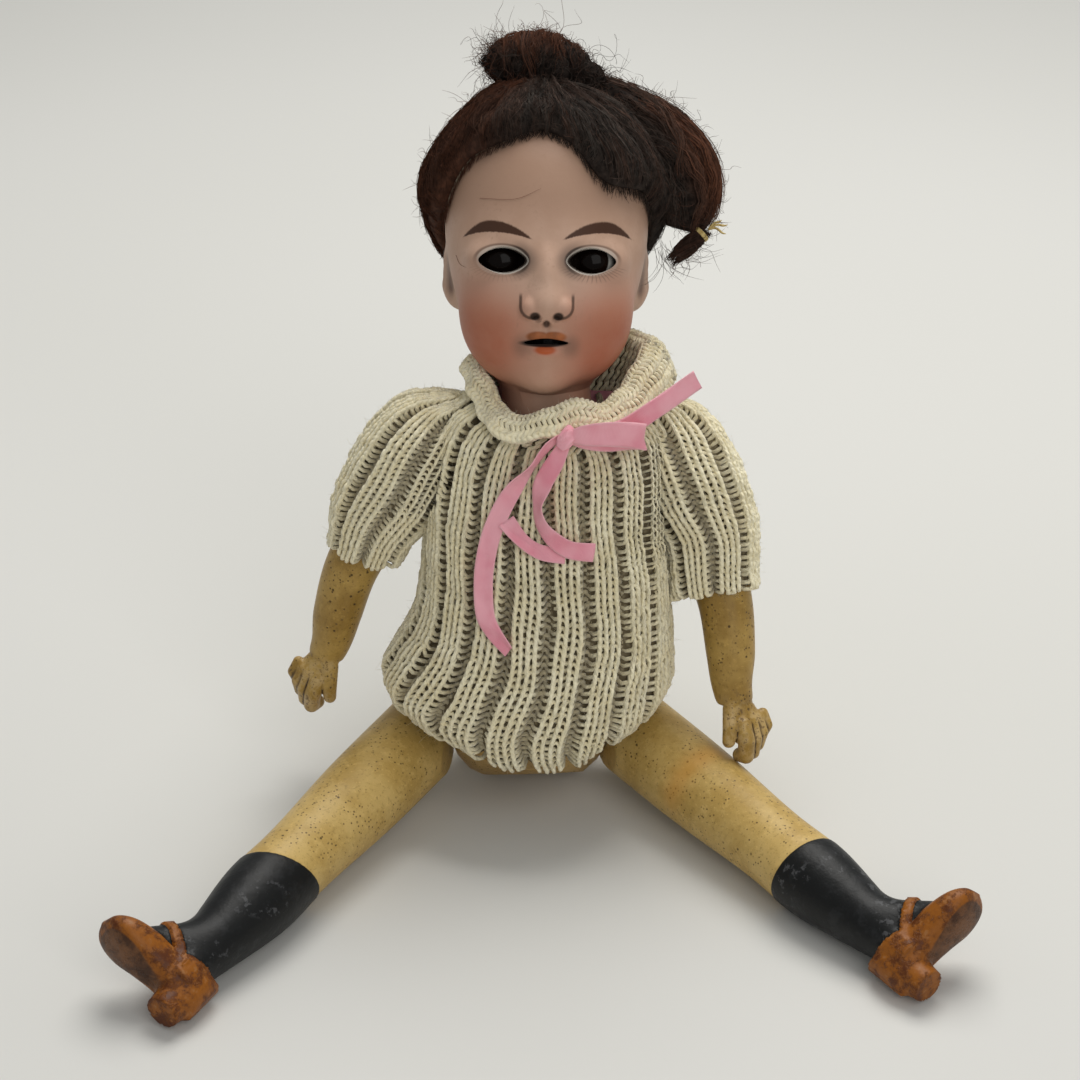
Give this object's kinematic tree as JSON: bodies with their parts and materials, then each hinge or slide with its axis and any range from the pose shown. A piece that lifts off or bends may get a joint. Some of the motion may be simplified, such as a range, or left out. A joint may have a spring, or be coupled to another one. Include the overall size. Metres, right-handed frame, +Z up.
{
  "type": "bisque doll",
  "caption": "Seated doll with a hollow bisque head, sleeping glass eyes, mohair wig and strung composition limbs, in a ribbed wool sweater tied at the neck with a satin ribbon.",
  "frame": {"origin": "on the flat under the torso that the doll sits on, level with the soles' resting points", "axes": "+Z up from the seat, -Y the way the doll faces, +X the doll's left"},
  "size_m": [0.1898, 0.1501, 0.1676],
  "materials": {
    "bisque": "unglazed bisque with painted features",
    "eye_glass": "dark brown blown glass",
    "mohair": "combed dark brown mohair",
    "gauze": "stiffened open gauze",
    "pasteboard": "pressed pasteboard",
    "plaster": "cast plaster",
    "lead": "dull grey lead",
    "iron_wire": "drawn iron wire",
    "turned_wood": "bare turned wood",
    "composition": "varnished sawdust composition with painted stockings and shoes",
    "elastic": "cotton-covered elastic",
    "ivory_wool": "hand-knitted ivory wool",
    "pink_satin": "pink satin ribbon",
    "straw_thread": "straw-yellow thread"
  },
  "bodies": {
    "torso": {"torso_front": "composition", "torso_back": "composition", "arm_elastic": "elastic", "leg_elastic": "elastic", "sweater_body": "ivory_wool", "sweater_collar": "ivory_wool", "neck_ribbon": "pink_satin", "bow_knot": "pink_satin", "bow_loop": "pink_satin", "bow_tail_long": "pink_satin", "bow_tail_short": "pink_satin", "bow_tail_up": "pink_satin"},
    "neck": {"neck_plug": "turned_wood", "neck_hook": "iron_wire"},
    "head": {"head": "bisque", "pate": "pasteboard", "wig_cap": "gauze", "wig_hair": "mohair", "topknot": "mohair", "side_tail": "mohair", "tail_thread": "straw_thread", "eye_bridge": "plaster"},
    "eyes": {"eye_left": "eye_glass", "eye_right": "eye_glass", "eye_axle": "iron_wire", "eye_yoke": "iron_wire", "eye_weight": "lead"},
    "arm_left": {"arm_left": "composition", "arm_hook_left": "iron_wire", "sweater_sleeve_left": "ivory_wool"},
    "leg_left": {"leg_left": "composition", "leg_hook_left": "iron_wire"},
    "arm_right": {"arm_right": "composition", "arm_hook_right": "iron_wire", "sweater_sleeve_right": "ivory_wool"},
    "leg_right": {"leg_right": "composition", "leg_hook_right": "iron_wire"}
  },
  "joints": [
    {"name": "head_turn", "type": "hinge", "parent": "torso", "child": "neck", "pos_m": [0.00607, 0.01012, 0.08627], "axis": [0, 0.1736, 0.9848], "range_deg": [-50, 50]},
    {"name": "head_nod", "type": "hinge", "parent": "neck", "child": "head", "pos_m": [0.00607, 0.01012, 0.08627], "axis": [1, 0, 0], "range_deg": [-5, 12]},
    {"name": "eye_sleep", "type": "hinge", "parent": "head", "child": "eyes", "pos_m": [0.00607, 0.012, 0.12838], "axis": [1, 0, 0], "range_deg": [0, 70]},
    {"name": "shoulder_left", "type": "hinge", "parent": "torso", "child": "arm_left", "pos_m": [0.02689, 0.01243, 0.07529], "axis": [-0.9903, -0.0218, -0.1375], "range_deg": [-60, 70]},
    {"name": "shoulder_right", "type": "hinge", "parent": "torso", "child": "arm_right", "pos_m": [-0.01601, 0.0129, 0.07826], "axis": [-0.9613, 0.0431, 0.2722], "range_deg": [-40, 92]},
    {"name": "hip_left", "type": "hinge", "parent": "torso", "child": "leg_left", "pos_m": [0.0176, 0.0015, 0.0125], "axis": [0.9781, 0.2079, 0], "range_deg": [0, 90]},
    {"name": "hip_right", "type": "hinge", "parent": "torso", "child": "leg_right", "pos_m": [-0.0176, 0.0015, 0.0125], "axis": [0.9781, -0.2079, 0], "range_deg": [0, 90]}
  ]
}
